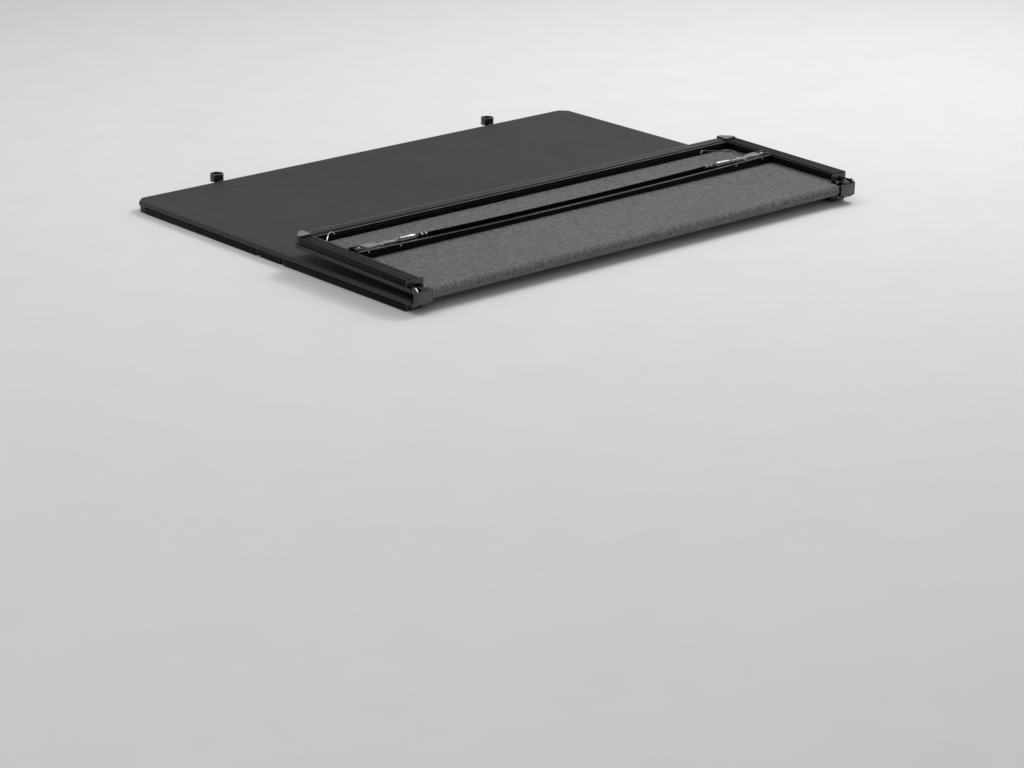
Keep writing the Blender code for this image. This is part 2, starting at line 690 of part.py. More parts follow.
def build():
    clear_scene()
    mats = make_materials()
    front_base = empty("front_panel_frame", (0.0, HEAD_Y, 0.0))
    front_panel(front_base, mats)

    front_lower = empty("front_fold_lower_axis", (0.0, HEAD_Y - FRONT_LENGTH - PIN_OVERHANG, PIN_Z))
    fold("front", FRONT_LINK_SPAN, front_lower, mats)
    bridge = FRONT_FOLD_LENGTH - 2 * GAP
    flat_skin = box_mesh("tarp_fold_front", (COVER_WIDTH - 0.004, bridge, SKIN))
    skin_place = (0.0, -FRONT_LINK_SPAN / 2, PIN_DEPTH - SKIN / 2)
    place("tarp_fold_front", flat_skin, mats["vinyl"], front_lower, skin_place)

    front_upper = empty("front_fold_upper_axis", (0.0, -FRONT_LINK_SPAN, 0.0), 0.0, front_lower)
    middle_base = panel_base("middle_panel_frame", front_upper)
    middle_panel(middle_base, mats)

    rear_pin = (0.0, -MIDDLE_LENGTH - PIN_OVERHANG, PIN_Z)
    rear_still = empty("rear_fold_lower_still", rear_pin, 0.0, middle_base)
    loop = outline_mesh("tarp_fold_rear", [rear_fold_outline()], COVER_WIDTH - 0.004, "X")
    place("tarp_fold_rear", loop, mats["vinyl"], rear_still)
    rear_lower = empty("rear_fold_lower_axis", rear_pin, -HALF_FOLD, middle_base)
    fold("rear", REAR_LINK_SPAN, rear_lower, mats)
    rear_upper = empty("rear_fold_upper_axis", (0.0, -REAR_LINK_SPAN, 0.0), -HALF_FOLD, rear_lower)
    rear_panel(panel_base("rear_panel_frame", rear_upper), mats)


build()
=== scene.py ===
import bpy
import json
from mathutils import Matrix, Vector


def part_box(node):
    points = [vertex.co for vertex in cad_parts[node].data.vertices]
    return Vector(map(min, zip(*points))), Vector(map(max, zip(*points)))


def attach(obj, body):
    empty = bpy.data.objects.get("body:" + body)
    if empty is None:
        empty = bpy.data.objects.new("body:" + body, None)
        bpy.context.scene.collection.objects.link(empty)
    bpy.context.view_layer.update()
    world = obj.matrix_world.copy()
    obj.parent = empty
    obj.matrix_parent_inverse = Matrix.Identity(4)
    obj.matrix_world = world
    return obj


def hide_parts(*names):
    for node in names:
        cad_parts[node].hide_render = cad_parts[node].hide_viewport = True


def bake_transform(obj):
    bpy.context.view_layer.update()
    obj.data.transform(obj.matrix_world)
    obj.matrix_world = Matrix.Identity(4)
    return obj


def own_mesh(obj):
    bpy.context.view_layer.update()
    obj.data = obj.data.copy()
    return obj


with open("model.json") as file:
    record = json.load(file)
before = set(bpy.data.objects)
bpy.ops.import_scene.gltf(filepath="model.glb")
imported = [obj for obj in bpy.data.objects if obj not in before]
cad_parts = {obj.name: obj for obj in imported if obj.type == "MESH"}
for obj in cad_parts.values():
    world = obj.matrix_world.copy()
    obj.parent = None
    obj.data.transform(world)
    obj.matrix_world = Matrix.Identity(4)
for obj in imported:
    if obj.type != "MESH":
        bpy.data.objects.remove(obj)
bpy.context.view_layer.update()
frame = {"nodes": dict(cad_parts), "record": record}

import json
import math

import bmesh
import bpy
from mathutils import Matrix, Vector, noise

# ------------------------------------------------------------------ the frame's own numbers
JOINTS = {j["name"]: j for j in frame["record"]["behaviour"]["joints"]}
SIDES = (("left", -1), ("right", 1))
PIN_OVERHANG = 0.0135  # from a panel's end to its pin line
HEAD_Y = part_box("header_rail")[1][1]
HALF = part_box("tarp_front")[1][0]
FRONT_LOW = Vector(JOINTS["front_fold_lower"]["pos_m"])
FRONT_UP = Vector(JOINTS["front_fold_upper"]["pos_m"])
REAR_LOW = Vector(JOINTS["rear_fold_lower"]["pos_m"])
REAR_UP = Vector(JOINTS["rear_fold_upper"]["pos_m"])
PIN_Z = FRONT_LOW.z
FOLD = math.radians(
    JOINTS["rear_fold_lower"]["range_deg"][1] + JOINTS["rear_fold_upper"]["range_deg"][1]
)
MIDDLE_START = FRONT_UP.y - PIN_OVERHANG
FRONT_LENGTH = HEAD_Y - (FRONT_LOW.y + PIN_OVERHANG)
MIDDLE_LENGTH = MIDDLE_START - (REAR_LOW.y + PIN_OVERHANG)
REAR_LENGTH = 0.497
REAR_SPAN = 0.036  # between the rear fold's two pin lines

# Where the panels start along the flat cover, measured from its head end.
MIDDLE_ALONG = HEAD_Y - MIDDLE_START
REAR_ALONG = MIDDLE_ALONG + MIDDLE_LENGTH + 2 * PIN_OVERHANG + REAR_SPAN

# Each body's own frame, in which its panel runs from y = 0 towards -y with its top up.
PLACE = {
    "front_panel": Matrix.Translation((0, HEAD_Y, 0)),
    "middle_panel": Matrix.Translation((0, MIDDLE_START, 0)),
    "rear_panel": Matrix.Translation(REAR_UP)
    @ Matrix.Rotation(-FOLD, 4, "X")
    @ Matrix.Translation((0, -PIN_OVERHANG, -PIN_Z)),
    "rear_link": Matrix.Translation(REAR_LOW) @ Matrix.Rotation(-FOLD / 2, 4, "X"),
}

RAIL_WIDTH = 0.044
BOW_WIDTH = 0.046
BOW_Y = {"front": -0.300, "middle": -0.265, "rear": -0.2825}
CLAMP_Z = {"front": 0.0115, "rear": 0.0030}


# ------------------------------------------------------------------ materials
def new_material(name, colour, roughness, metallic=0.0):
    mat = bpy.data.materials.new(name)
    mat.use_nodes = True
    nodes = mat.node_tree.nodes
    shader = nodes["Principled BSDF"]
    shader.inputs["Base Color"].default_value = (*colour, 1)
    shader.inputs["Roughness"].default_value = roughness
    shader.inputs["Metallic"].default_value = metallic
    return mat, nodes, mat.node_tree.links, shader


def coords(nodes, links, scale=(1, 1, 1), turn=0.0):
    """Object coordinates in metres, scaled and turned about Z."""
    tex = nodes.new("ShaderNodeTexCoord")
    mapping = nodes.new("ShaderNodeMapping")
    mapping.inputs["Scale"].default_value = scale
    mapping.inputs["Rotation"].default_value = (0, 0, turn)
    links.new(tex.outputs["Object"], mapping.inputs["Vector"])
    return mapping.outputs["Vector"]


def noise_node(nodes, links, vector, scale, detail=3.0, rough=0.5):
    node = nodes.new("ShaderNodeTexNoise")
    node.inputs["Scale"].default_value = scale
    node.inputs["Detail"].default_value = detail
    node.inputs["Roughness"].default_value = rough
    links.new(vector, node.inputs["Vector"])
    return node.outputs["Fac"]


def ramp(nodes, links, factor, stops):
    node = nodes.new("ShaderNodeValToRGB")
    elements = node.color_ramp.elements
    while len(elements) < len(stops):
        elements.new(0.5)
    for element, (position, value) in zip(elements, stops):
        element.position = position
        colour = value if isinstance(value, tuple) else (value, value, value)
        element.color = (*colour, 1)
    links.new(factor, node.inputs["Fac"])
    return node.outputs["Color"]


def mixed(nodes, links, first, second, share):
    node = nodes.new("ShaderNodeMix")
    node.data_type = "RGBA"
    node.inputs["Factor"].default_value = share
    links.new(first, node.inputs["A"])
    links.new(second, node.inputs["B"])
    return node.outputs["Result"]


def bump(nodes, links, height, strength, distance, normal=None):
    node = nodes.new("ShaderNodeBump")
    node.inputs["Strength"].default_value = strength
    node.inputs["Distance"].default_value = distance
    links.new(height, node.inputs["Height"])
    if normal is not None:
        links.new(normal, node.inputs["Normal"])
    return node.outputs["Normal"]


def vinyl_material():
    """Matt black vinyl: a pebbled grain, fine specks and uneven gloss."""
    mat, nodes, links, shader = new_material("vinyl", (0.033, 0.033, 0.034), 0.5)
    vector = coords(nodes, links)
    cells = nodes.new("ShaderNodeTexVoronoi")
    cells.feature = "DISTANCE_TO_EDGE"
    cells.inputs["Scale"].default_value = 700
    links.new(vector, cells.inputs["Vector"])
    grain = ramp(nodes, links, cells.outputs["Distance"], [(0.0, 0.0), (0.25, 1.0)])
    soft = noise_node(nodes, links, vector, 7.0, 4.0, 0.55)
    broad = noise_node(nodes, links, vector, 1.6, 2.0)
    speck = noise_node(nodes, links, vector, 240, 2.0, 0.6)
    dark, light = (0.027, 0.027, 0.0273), (0.043, 0.043, 0.0433)
    tone = ramp(nodes, links, broad, [(0.3, dark), (0.7, light)])
    dark, light = (0.012, 0.012, 0.0121), (0.060, 0.060, 0.0603)
    specks = ramp(nodes, links, speck, [(0.36, dark), (0.64, light)])
    links.new(mixed(nodes, links, tone, specks, 0.5), shader.inputs["Base Color"])
    links.new(ramp(nodes, links, soft, [(0.3, 0.46), (0.7, 0.56)]), shader.inputs["Roughness"])
    fine = noise_node(nodes, links, vector, 1100, 2.0)
    pebble = noise_node(nodes, links, vector, 330, 3.0, 0.6)
    first = bump(nodes, links, grain, 0.30, 0.0003)
    second = bump(nodes, links, fine, 0.20, 0.0003, first)
    third = bump(nodes, links, pebble, 0.6, 0.0010, second)
    links.new(bump(nodes, links, soft, 0.15, 0.003, third), shader.inputs["Normal"])
    shader.inputs["Specular IOR Level"].default_value = 0.28
    return mat


def lining_material():
    """The textile underside: a fine weave over short wavy ripples that run aslant, with the ripples'
    shade and light painted into its colour.
    """
    mat, nodes, links, shader = new_material("liner", (0.10, 0.10, 0.10), 0.8)
    vector = coords(nodes, links)
    aslant = coords(nodes, links, (1.9, 0.7, 1.0), math.radians(28))
    ripple = noise_node(nodes, links, aslant, 70, 2.0, 0.6)
    mottle = noise_node(nodes, links, coords(nodes, links, (1.15, 0.9, 1.0)), 210, 2.0, 0.6)
    patch = noise_node(nodes, links, vector, 9, 3.0)
    dark, light = (0.038, 0.038, 0.0385), (0.172, 0.172, 0.174)
    threads = ramp(nodes, links, mottle, [(0.39, dark), (0.61, light)])
    # the ripples' painted shade and light: dark and light colour in step with their bump
    dark, light = (0.046, 0.046, 0.0465), (0.164, 0.164, 0.166)
    painted_ripple_shade = ramp(nodes, links, ripple, [(0.40, dark), (0.60, light)])
    links.new(mixed(nodes, links, threads, painted_ripple_shade, 0.4), shader.inputs["Base Color"])
    links.new(ramp(nodes, links, patch, [(0.3, 0.72), (0.7, 0.86)]), shader.inputs["Roughness"])
    normal = None
    for direction in ("X", "Y"):
        weave = nodes.new("ShaderNodeTexWave")
        weave.bands_direction = direction
        weave.inputs["Scale"].default_value = 320
        weave.inputs["Distortion"].default_value = 1.5
        links.new(vector, weave.inputs["Vector"])
        normal = bump(nodes, links, weave.outputs["Fac"], 0.3, 0.0005, normal)
    normal = bump(nodes, links, mottle, 0.6, 0.0014, normal)
    links.new(bump(nodes, links, ripple, 0.8, 0.0035, normal), shader.inputs["Normal"])
    shader.inputs["Sheen Weight"].default_value = 0.15
    shader.inputs["Sheen Roughness"].default_value = 0.5
    return mat


def extrusion_material(name, axis):
    """Satin black anodised extrusion: faint draw lines along its length, worn tone."""
    grey, roughness = 0.0040, 0.30
    mat, nodes, links, shader = new_material(name, (grey,) * 3, roughness)
    shader.inputs["Specular IOR Level"].default_value = 0.14
    stretch = (4, 900, 900) if axis == "X" else (900, 4, 900)
    lines = noise_node(nodes, links, coords(nodes, links, stretch), 1.0, 2.0)
    smudge = noise_node(nodes, links, coords(nodes, links), 22, 4.0, 0.6)
    tone = ramp(nodes, links, smudge, [(0.3, grey * 0.8), (0.75, grey * 1.35)])
    links.new(tone, shader.inputs["Base Color"])
    gloss = ramp(nodes, links, smudge, [(0.3, roughness - 0.05), (0.7, roughness + 0.1)])
    links.new(gloss, shader.inputs["Roughness"])
    links.new(bump(nodes, links, lines, 0.2, 0.0002), shader.inputs["Normal"])
    return mat


def moulded_material(name, colour, gloss, grain, metallic=0.0, coat=0.0, coat_ior=1.5):
    """Plastic, rubber or a casting: a fine skin texture with uneven gloss.

    gloss is the lowest and highest roughness, grain the texture's scale and strength."""
    mat, nodes, links, shader = new_material(name, colour, sum(gloss) / 2, metallic)
    fine = noise_node(nodes, links, coords(nodes, links), grain[0], 3.0, 0.6)
    wide = noise_node(nodes, links, coords(nodes, links), 30, 3.0)
    darker = tuple(c * 0.82 for c in colour)
    lighter = tuple(min(1.0, c * 1.2) for c in colour)
    tone = ramp(nodes, links, wide, [(0.3, darker), (0.72, lighter)])
    links.new(tone, shader.inputs["Base Color"])
    roughness = ramp(nodes, links, wide, [(0.3, gloss[0]), (0.7, gloss[1])])
    links.new(roughness, shader.inputs["Roughness"])
    links.new(bump(nodes, links, fine, grain[1], 0.0004), shader.inputs["Normal"])
    if coat:
        shader.inputs["Coat Weight"].default_value = coat
        shader.inputs["Coat Roughness"].default_value = 0.10
        shader.inputs["Coat IOR"].default_value = coat_ior
    return mat


MAT = {
    "vinyl": vinyl_material(),
    "lining": lining_material(),
    "rail_y": extrusion_material("side_rail_finish", "Y"),
    "rail_x": extrusion_material("cross_rail_finish", "X"),
}
for key, name, colour, gloss, grain, extra in (
    ("casting", "black_casting", (0.007, 0.007, 0.0075), (0.14, 0.26), (320, 0.15), {"coat": 0.5}),
    ("cap", "grey_cap", (0.20, 0.20, 0.203), (0.38, 0.50), (500, 0.30), {}),
    ("corner", "black_corner", (0.012, 0.012, 0.0125), (0.30, 0.45), (500, 0.30), {}),
    ("rubber", "rubber", (0.010, 0.010, 0.010), (0.42, 0.60), (700, 0.35), {}),
    ("bumper", "gloss_rubber", (0.008, 0.008, 0.008), (0.12, 0.22), (300, 0.15), {"coat": 0.5}),
    ("steel", "steel", (0.55, 0.55, 0.56), (0.20, 0.34), (500, 0.10), {"metallic": 1.0}),
    ("dark_steel", "dark_steel", (0.10, 0.10, 0.105), (0.25, 0.40), (500, 0.15), {"metallic": 0.9}),
    ("alloy", "cast_alloy", (0.24, 0.24, 0.245), (0.32, 0.45), (420, 0.35), {"metallic": 0.25}),
    # a light grey for the beads on the bow rims and cross rails: painted highlight lines
    ("edge", "painted_highlight_bead", (0.22, 0.22, 0.223), (0.28, 0.40), (500, 0.15), {"metallic": 0.2}),
    ("worn", "worn_edge", (0.030, 0.030, 0.0305), (0.26, 0.36), (500, 0.15), {"metallic": 0.1}),
    ("plate", "satin_plate", (0.085, 0.085, 0.087), (0.34, 0.48), (340, 0.30), {"metallic": 0.2}),
    (
        "knob", "gloss_knob", (0.012, 0.012, 0.013), (0.12, 0.20), (200, 0.08),
        {"coat": 1.0, "coat_ior": 2.6},
    ),
):
    MAT[key] = moulded_material(name, colour, gloss, grain, **extra)


# ------------------------------------------------------------------ making pieces
def add_piece(name, mesh, mat, body, stands_for=()):
    obj = bpy.data.objects.new(name, mesh)
    bpy.context.scene.collection.objects.link(obj)
    mesh.materials.clear()
    mesh.materials.append(mat)
    if body:
        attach(obj, body)
    if stands_for:
        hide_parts(*stands_for)
    return obj


def mesh_of(bm, name, matrix=None, smooth_deg=35):
    if matrix is not None:
        bmesh.ops.transform(bm, matrix=matrix, verts=bm.verts)
    mesh = bpy.data.meshes.new(name)
    bm.to_mesh(mesh)
    bm.free()
    mesh.shade_smooth()
    mesh.set_sharp_from_angle(angle=math.radians(smooth_deg))
    return mesh


def refine(node, mat, body, width=0.0005, segments=2, angle=32):
    """A CAD solid again with rounded edges that catch the light, standing for the node."""
    source = frame["nodes"][node]
    bm = bmesh.new()
    bm.from_mesh(source.data)
    bmesh.ops.transform(bm, matrix=source.matrix_world, verts=bm.verts)
    bmesh.ops.remove_doubles(bm, verts=bm.verts, dist=1e-6)
    flat = math.radians(0.8)
    bmesh.ops.dissolve_limit(
        bm, angle_limit=flat, verts=bm.verts, edges=bm.edges, use_dissolve_boundaries=False
    )
    bmesh.ops.recalc_face_normals(bm, faces=bm.faces)
    mesh = bpy.data.meshes.new(f"{node}_detail")
    bm.to_mesh(mesh)
    bm.free()
    mesh.shade_smooth()
    obj = add_piece(f"{node}_detail", mesh, mat, None)
    modifier = obj.modifiers.new("rounded", "BEVEL")
    modifier.width = width
    modifier.segments = segments
    modifier.limit_method = "ANGLE"
    modifier.angle_limit = math.radians(angle)
    modifier.harden_normals = True
    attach(obj, body)
    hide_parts(node)
    return obj


def tube(points, radius):
    """A wire swept along points, with closed ends."""
    curve = bpy.data.curves.new("wire", "CURVE")
    curve.dimensions = "3D"
    curve.bevel_depth = radius
    curve.bevel_resolution = 2
    curve.use_fill_caps = True
    spline = curve.splines.new("POLY")
    spline.points.add(len(points) - 1)
    for point, co in zip(spline.points, points):
        point.co = (*co, 1)
    carrier = bpy.data.objects.new("wire", curve)
    bpy.context.scene.collection.objects.link(carrier)
    bpy.context.view_layer.update()
    mesh = bpy.data.meshes.new_from_object(
        carrier.evaluated_get(bpy.context.evaluated_depsgraph_get())
    )
    bpy.data.objects.remove(carrier)
    bm = bmesh.new()
    bm.from_mesh(mesh)
    bmesh.ops.remove_doubles(bm, verts=bm.verts, dist=1e-6)
    bmesh.ops.recalc_face_normals(bm, faces=bm.faces)
    return bm


def rounded_path(points, radius, steps=6):
    """The points with each inner corner rounded off."""
    points = [Vector(p) for p in points]
    path = [points[0]]
    for a, b, c in zip(points, points[1:], points[2:]):
        into, out = (a - b), (c - b)
        reach = min(radius, into.length / 2, out.length / 2)
        start, end = b + into.normalized() * reach, b + out.normalized() * reach
        for i in range(steps + 1):
            t = i / steps
            path.append((1 - t) ** 2 * start + 2 * t * (1 - t) * b + t * t * end)
    path.append(points[-1])
    return path


def turned(outline, steps=28):
    """A solid of revolution about Z from (radius, z) points, closed on the axis."""
    bm = bmesh.new()
    rings = []
    for radius, z in outline:
        if radius < 1e-7:
            rings.append([bm.verts.new((0, 0, z))])
            continue
        ring = []
        for i in range(steps):
            a = 2 * math.pi * i / steps
            ring.append(bm.verts.new((radius * math.cos(a), radius * math.sin(a), z)))
        rings.append(ring)
    for low, high in zip(rings, rings[1:]):
        for i in range(steps):
            j = (i + 1) % steps
            if len(low) == 1 and len(high) == 1:
                continue
            if len(low) == 1:
                bm.faces.new((low[0], high[j], high[i]))
            elif len(high) == 1:
                bm.faces.new((low[i], low[j], high[0]))
            else:
                bm.faces.new((low[i], low[j], high[j], high[i]))
    bmesh.ops.recalc_face_normals(bm, faces=bm.faces)
    return bm


def joined(parts):
    """Several bmeshes as one, each already in place."""
    whole = bmesh.new()
    for part in parts:
        mesh = bpy.data.meshes.new("part")
        part.to_mesh(mesh)
        part.free()
        whole.from_mesh(mesh)
        bpy.data.meshes.remove(mesh)
    return whole


def moved(bm, matrix):
    bmesh.ops.transform(bm, matrix=matrix, verts=bm.verts)
    return bm


def lofted(rings):
    """A closed solid through rings of points, with a flat face at each end."""
    bm = bmesh.new()
    rings = [[bm.verts.new(point) for point in ring] for ring in rings]
    for a, b in zip(rings, rings[1:]):
        for i in range(len(a)):
            j = (i + 1) % len(a)
            bm.faces.new((a[i], a[j], b[j], b[i]))
    bm.faces.new(rings[0])
    bm.faces.new(list(reversed(rings[-1])))
    bmesh.ops.recalc_face_normals(bm, faces=bm.faces)
    return bm


# ------------------------------------------------------------------ the vinyl and its lining
SKIN_THICKNESS = 0.0013
SKIN_REACH = 0.0205  # how far the skin runs on past a panel's end at the rear fold
COLUMNS = 104
CUT_STEPS = 6

# The skin's edge as (distance inside the cover's outline, height), from its lower rim up,
# and the distances of the bands between that edge and the open field.
EDGE = [(0.0, 0.0198), (0.0, 0.0235), (0.0, 0.0282), (0.0004, 0.0300), (0.0012, 0.0315)]
EDGE += [(0.0024, 0.0325), (0.0040, 0.0329)]
BANDS = (0.007, 0.012, 0.018, 0.024, 0.027, 0.0285, 0.030, 0.0315, 0.034, 0.040, 0.048)
BANDS += (0.055, 0.062, 0.069, 0.077, 0.087, 0.098)
FIELD_HALF = HALF - BANDS[-1]
FADE = 0.05  # over which the field's slackness starts

LINING_Z = 0.0262  # its underside, in a panel's frame
LINING_HALF = 0.8075
LINING_THICKNESS = 0.0010
LINING_GAP = 0.005  # from a panel's end to the lining's
LINING_END = 0.050  # from the header's and the tail's end to the lining's
TONGUE_HALF = 0.7775  # half the width of the strips between the hinge castings
TONGUE_REACH = 0.0150  # how far those strips run on past a panel's end
LOOP_TRIM = 6  # points left off each edge of the skin's loop at the rear fold


def eased(t):
    t = min(1.0, max(0.0, t))
    return t * t * (3 - 2 * t)


def band_height(d):
    """The vinyl's top at a distance d inside the cover's edge."""
    crown = 0.0003 * math.sin(math.pi * min(1.0, d / 0.030))
    ridge = 0.0005 * math.exp(-(((d - 0.0292) / 0.0012) ** 2))
    sink = 0.0008 * eased((d - 0.030) / 0.020) + 0.0022 * eased((d - 0.062) / 0.036)
    return 0.0328 + crown + ridge - sink


def field_wave(x, y):
    """Slight slackness of the stretched vinyl, in metres."""
    broad = noise.noise(Vector((x * 1.7, y * 2.6, 0.3)))
    fine = noise.noise(Vector((x * 9.0, y * 7.0, 4.1)))
    return 0.0007 * broad + 0.00018 * fine


def field_height(x, along, fade=1.0):
    """The vinyl's top between the edge bands, at a distance along the flat cover."""
    return band_height(HALF) + min(1.0, fade, (FIELD_HALF - abs(x)) / FADE) * field_wave(x, along)


def profile(along):
    """(x, height) points right across the skin, from its left edge to its right edge."""
    side = [(HALF - d, z) for d, z in EDGE] + [(HALF - d, band_height(d)) for d in BANDS]
    points = [(-x, z) for x, z in side]
    for c in range(1, COLUMNS):
        x = -FIELD_HALF + 2 * FIELD_HALF * c / COLUMNS
        points.append((x, field_height(x, along)))
    return points + list(reversed(side))


def grid_sheet(rows, test):
    """A sheet over rows of points, turned so that test(normal) is positive on the whole."""
    bm = bmesh.new()
    lines = [[bm.verts.new(p) for p in row] for row in rows]
    for a, b in zip(lines, lines[1:]):
        for i in range(len(a) - 1):
            bm.faces.new((a[i], a[i + 1], b[i + 1], b[i]))
    bm.normal_update()
    if sum(test(f.normal) * f.calc_area() for f in bm.faces) < 0:
        bmesh.ops.reverse_faces(bm, faces=bm.faces)
    return bm


def outline_points(d, length, closed, chamfer, rows):
    """(x, depth) along the skin's outline at a distance d inside it: up its left side and
    down its right. A closed outline also crosses at depth d, with its corners cut off."""
    corner = max(0.0, chamfer - d * (2 - math.sqrt(2))) if closed else 0.0
    end = d if closed else 0.0
    start = end + corner
    half = HALF - d
    depths = [length + (start - length) * i / rows for i in range(rows + 1)]
    left = [(-half, depth) for depth in depths]
    right = [(half, depth) for depth in reversed(depths)]
    if not closed:
        return [left, right]
    shares = [i / CUT_STEPS for i in range(1, CUT_STEPS)]
    across = [(-half + corner * t, start - corner * t) for t in shares]
    inner = half - corner
    across += [(-inner + 2 * inner * i / COLUMNS, end) for i in range(COLUMNS + 1)]
    across += [(inner + corner * t, end + corner * t) for t in shares]
    return [left + across + right]


def skin_section(length, closed_end, chamfer, offset=0.0, step=0.016):
    """A panel's skin in the panel's frame.

    closed_end is +1 when the y = 0 end is wrapped over a cross rail, -1 for the far end
    and 0 for neither. Depth runs inward from that end, or from y = 0, up to length, and
    offset is where depth 0 lies along the flat cover."""
    bm = bmesh.new()
    rows = max(8, int(length / step))

    def vertex(x, depth, z):
        y = -depth if closed_end >= 0 else depth - REAR_LENGTH
        return bm.verts.new((x, y, z))

    bands = []
    for d, z in EDGE + [(d, band_height(d)) for d in BANDS]:
        lines = outline_points(d, length, closed_end != 0, chamfer, rows)
        bands.append([[vertex(x, depth, z) for x, depth in line] for line in lines])
    for lower, upper in zip(bands, bands[1:]):
        for a, b in zip(lower, upper):
            for i in range(len(a) - 1):
                bm.faces.new((a[i], a[i + 1], b[i + 1], b[i]))

    field = []
    start = BANDS[-1] if closed_end else 0.0
    for r in range(rows + 1):
        depth = length + (start - length) * r / rows
        along = offset - depth if closed_end < 0 else offset + depth
        fade = (depth - start) / FADE if closed_end else 1.0
        xs = [-FIELD_HALF + 2 * FIELD_HALF * c / COLUMNS for c in range(COLUMNS + 1)]
        field.append([vertex(x, depth, field_height(x, along, fade)) for x in xs])
    for a, b in zip(field, field[1:]):
        for c in range(COLUMNS):
            bm.faces.new((a[c], a[c + 1], b[c + 1], b[c]))
    bmesh.ops.remove_doubles(bm, verts=bm.verts, dist=0.00002)
    bmesh.ops.recalc_face_normals(bm, faces=bm.faces)
    if sum(f.normal.z * f.calc_area() for f in bm.faces) < 0:
        bmesh.ops.reverse_faces(bm, faces=bm.faces)
    return bm


def thicken(bm, thickness):
    """Close a sheet into a thin solid, growing on the side away from its normals."""
    bm.normal_update()
    top = list(bm.verts)
    normals = [v.normal.copy() for v in top]
    faces = list(bm.faces)
    edges = [e for e in bm.edges if e.is_boundary]
    rim = [(e.verts[0], e.verts[1], e.link_faces[0]) for e in edges]
    low = {}
    for v, n in zip(top, normals):
        low[v] = bm.verts.new(v.co - n * thickness)
    for f in faces:
        bm.faces.new([low[v] for v in reversed(f.verts)])
    for a, b, face in rim:
        order = [loop.vert for loop in face.loops]
        if order[(order.index(a) + 1) % len(order)] is not b:
            a, b = b, a
        bm.faces.new((b, a, low[a], low[b]))
    return bm


def skin(row, length, closed_end, chamfer, offset):
    body = f"{row}_panel"
    section = skin_section(length, closed_end, chamfer, offset)
    mesh = mesh_of(thicken(section, SKIN_THICKNESS), f"vinyl_{row}", PLACE[body], 60)
    obj = add_piece(f"vinyl_{row}", mesh, MAT["vinyl"], body, (f"tarp_{row}",))


def front_fold():
    """The skin and the lining over the wide front fold, in two spans that meet half way between its
    two pin lines.
    """
    half_way = (FRONT_LOW.y + FRONT_UP.y) / 2
    over = PIN_OVERHANG
    spans = (
        ("lower", "front_panel", "front_link", FRONT_LOW.y + over, half_way, FRONT_LOW.y),
        ("upper", "front_link", "middle_panel", half_way, FRONT_UP.y - over, FRONT_UP.y),
    )
    for word, a, b, start, end, pin in spans:
        length = start - end
        place = Matrix.Translation((0, start, 0))
        section = skin_section(length, 0, 0.0, HEAD_Y - start, 0.003)
        mesh = mesh_of(thicken(section, SKIN_THICKNESS), f"vinyl_fold_{word}", place, 60)
        vinyl = add_piece(f"vinyl_fold_{word}", mesh, MAT["vinyl"], None)
        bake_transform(vinyl)
        top = start + (LINING_GAP if word == "lower" else 0.0)
        low = end - (LINING_GAP if word == "upper" else 0.0)
        bm = lining_strip(top - start, low - start, TONGUE_HALF, HEAD_Y - start, 0.003)
        mesh = mesh_of(bm, f"lining_fold_{word}", place, 60)
        under = add_piece(f"lining_fold_{word}", mesh, MAT["lining"], None)
        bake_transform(under)
        if word == "lower":
            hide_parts("tarp_fold_front")


def loop(name, start, end, bulge, mat, inward, anchor):
    """A sheet that turns back from the middle panel's end to the rear panel's, through points start
    and end across the cover, swinging out by bulge. The anchor argument is not used."""
    rows = []
    steps = 18
    for i in range(steps + 1):
        turn = math.pi * (i / steps - 0.5)
        swing = Vector((0, -bulge * math.cos(turn), 0))
        rows.append([(a + b) / 2 + (b - a) / 2 * math.sin(turn) + swing for a, b in zip(start, end)])
    facing = 1 if inward else -1
    sheet = grid_sheet(rows, lambda n: n.y * facing)
    area = sum(f.calc_area() for f in sheet.faces)
    bm = thicken(sheet, SKIN_THICKNESS if inward else LINING_THICKNESS)
    mesh = mesh_of(bm, name, None, 60)
    obj = add_piece(name, mesh, mat, None)
    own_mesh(obj)
    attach(obj, "rear_link")
    return obj


def rear_fold():
    """The skin's loop inside the closed rear fold and the lining's loop around it."""
    middle, rear = PLACE["middle_panel"], PLACE["rear_panel"]
    low = profile(MIDDLE_ALONG + MIDDLE_LENGTH + SKIN_REACH)[LOOP_TRIM:-LOOP_TRIM]
    high = profile(REAR_ALONG - SKIN_REACH)[LOOP_TRIM:-LOOP_TRIM]
    start = [middle @ Vector((x, -MIDDLE_LENGTH - SKIN_REACH, z)) for x, z in low]
    end = [rear @ Vector((x, SKIN_REACH, z)) for x, z in high]
    vinyl = loop("vinyl_fold_rear", start, end, 0.0072, MAT["vinyl"], True, 0.0031)
    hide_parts("tarp_fold_rear")
    count = 128
    xs = [TONGUE_HALF * (2 * c / count - 1) for c in range(count + 1)]
    s_low = MIDDLE_ALONG + MIDDLE_LENGTH + TONGUE_REACH
    s_high = REAR_ALONG - TONGUE_REACH
    y_low, y_high = -MIDDLE_LENGTH - TONGUE_REACH, TONGUE_REACH
    start = [middle @ Vector((x, y_low, lining_height(x, s_low))) for x in xs]
    end = [rear @ Vector((x, y_high, lining_height(x, s_high))) for x in xs]
    loop("lining_fold_rear", start, end, 0.018, MAT["lining"], False, 0.0012)


def lining_height(x, along):
    """The lining's underside: taut, with a little sag and ripple."""
    sag = noise.noise(Vector((x * 2.1, along * 4.0, 7.7)))
    ripple = noise.noise(Vector((x * 16.0, along * 11.0, 1.7)))
    return LINING_Z - 0.0006 * sag - 0.00025 * ripple


def lining_strip(start, end, half, offset, step=0.012):
    """The textile lining from y = start to y = end, where y = 0 is offset along the cover."""
    count = max(4, int(abs(end - start) / step))
    columns = 130
    rows = []
    for r in range(count + 1):
        y = start + (end - start) * r / count
        xs = [half * (2 * c / columns - 1) for c in range(columns + 1)]
        rows.append([(x, y, lining_height(x, offset - y)) for x in xs])
    return thicken(grid_sheet(rows, lambda n: -n.z), LINING_THICKNESS)


